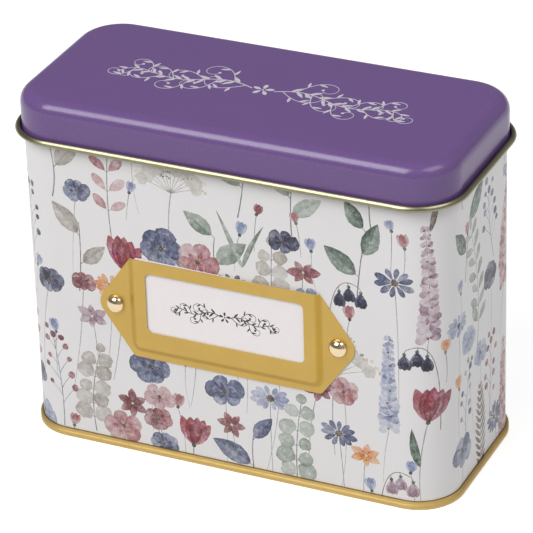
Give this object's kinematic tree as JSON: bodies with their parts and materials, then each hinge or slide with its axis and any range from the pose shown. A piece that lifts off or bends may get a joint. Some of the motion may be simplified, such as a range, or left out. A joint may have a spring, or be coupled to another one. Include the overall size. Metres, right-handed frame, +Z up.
{
  "type": "prayer card tin",
  "caption": "Upright slip-lid tinplate box with rounded corners, a riveted label holder on the front, and tabbed dividers and cards filed inside.",
  "frame": {"origin": "middle of the base, on the surface that the tin stands on", "axes": "+X across the tin's width, to the right when the label faces the viewer; -Y out of the labelled front; +Z up"},
  "size_m": [0.1456, 0.0678, 0.115],
  "materials": {
    "wall_print": "satin litho print on tinplate",
    "seam_gold": "satin gold lacquer on tinplate",
    "lid_purple": "satin purple lacquer on tinplate",
    "holder_gold": "satin gold lacquer on pressed steel",
    "rivet_brass": "polished",
    "label_paper": "matt",
    "divider_card": "matt",
    "card_paper": "matt"
  },
  "bodies": {
    "tin": {"body_wall": "wall_print", "base_plate": "seam_gold", "label_holder": "holder_gold", "holder_rivets": "rivet_brass"},
    "lid": {"lid": "lid_purple"},
    "label": {"label_card": "label_paper"},
    "file_1": {"divider_1": "divider_card", "cards_1": "card_paper"},
    "file_2": {"divider_2": "divider_card", "cards_2": "card_paper"},
    "file_3": {"divider_3": "divider_card", "cards_3": "card_paper"},
    "file_4": {"divider_4": "divider_card", "cards_4": "card_paper"},
    "file_5": {"divider_5": "divider_card", "cards_5": "card_paper"},
    "file_6": {"divider_6": "divider_card", "cards_6": "card_paper"}
  },
  "joints": [
    {"name": "lid_lift", "type": "slide", "parent": "tin", "child": "lid", "axis": [0, 0, 1], "range_m": [0, 0.08]},
    {"name": "label_slide", "type": "slide", "parent": "tin", "child": "label", "axis": [0, 0, 1], "range_m": [0, 0.031]},
    {"name": "file_lean_1", "type": "hinge", "parent": "tin", "child": "file_1", "pos_m": [0, -0.00385, 0.0043], "axis": [1, 0, 0], "range_deg": [0, 15]},
    {"name": "file_lean_2", "type": "hinge", "parent": "tin", "child": "file_2", "pos_m": [0, 0.00155, 0.0043], "axis": [1, 0, 0], "range_deg": [0, 12.51]},
    {"name": "file_lean_3", "type": "hinge", "parent": "tin", "child": "file_3", "pos_m": [0, 0.00695, 0.0043], "axis": [1, 0, 0], "range_deg": [0, 10.01]},
    {"name": "file_lean_4", "type": "hinge", "parent": "tin", "child": "file_4", "pos_m": [0, 0.01235, 0.0043], "axis": [1, 0, 0], "range_deg": [0, 7.51]},
    {"name": "file_lean_5", "type": "hinge", "parent": "tin", "child": "file_5", "pos_m": [0, 0.01775, 0.0043], "axis": [1, 0, 0], "range_deg": [0, 5.01]},
    {"name": "file_lean_6", "type": "hinge", "parent": "tin", "child": "file_6", "pos_m": [0, 0.02315, 0.0043], "axis": [1, 0, 0], "range_deg": [0, 2.51]}
  ],
  "couplings": [
    {"joint": "file_lean_2", "follows": "file_lean_1", "ratio": 0.83333},
    {"joint": "file_lean_3", "follows": "file_lean_1", "ratio": 0.66667},
    {"joint": "file_lean_4", "follows": "file_lean_1", "ratio": 0.5},
    {"joint": "file_lean_5", "follows": "file_lean_1", "ratio": 0.33333},
    {"joint": "file_lean_6", "follows": "file_lean_1", "ratio": 0.16667}
  ]
}
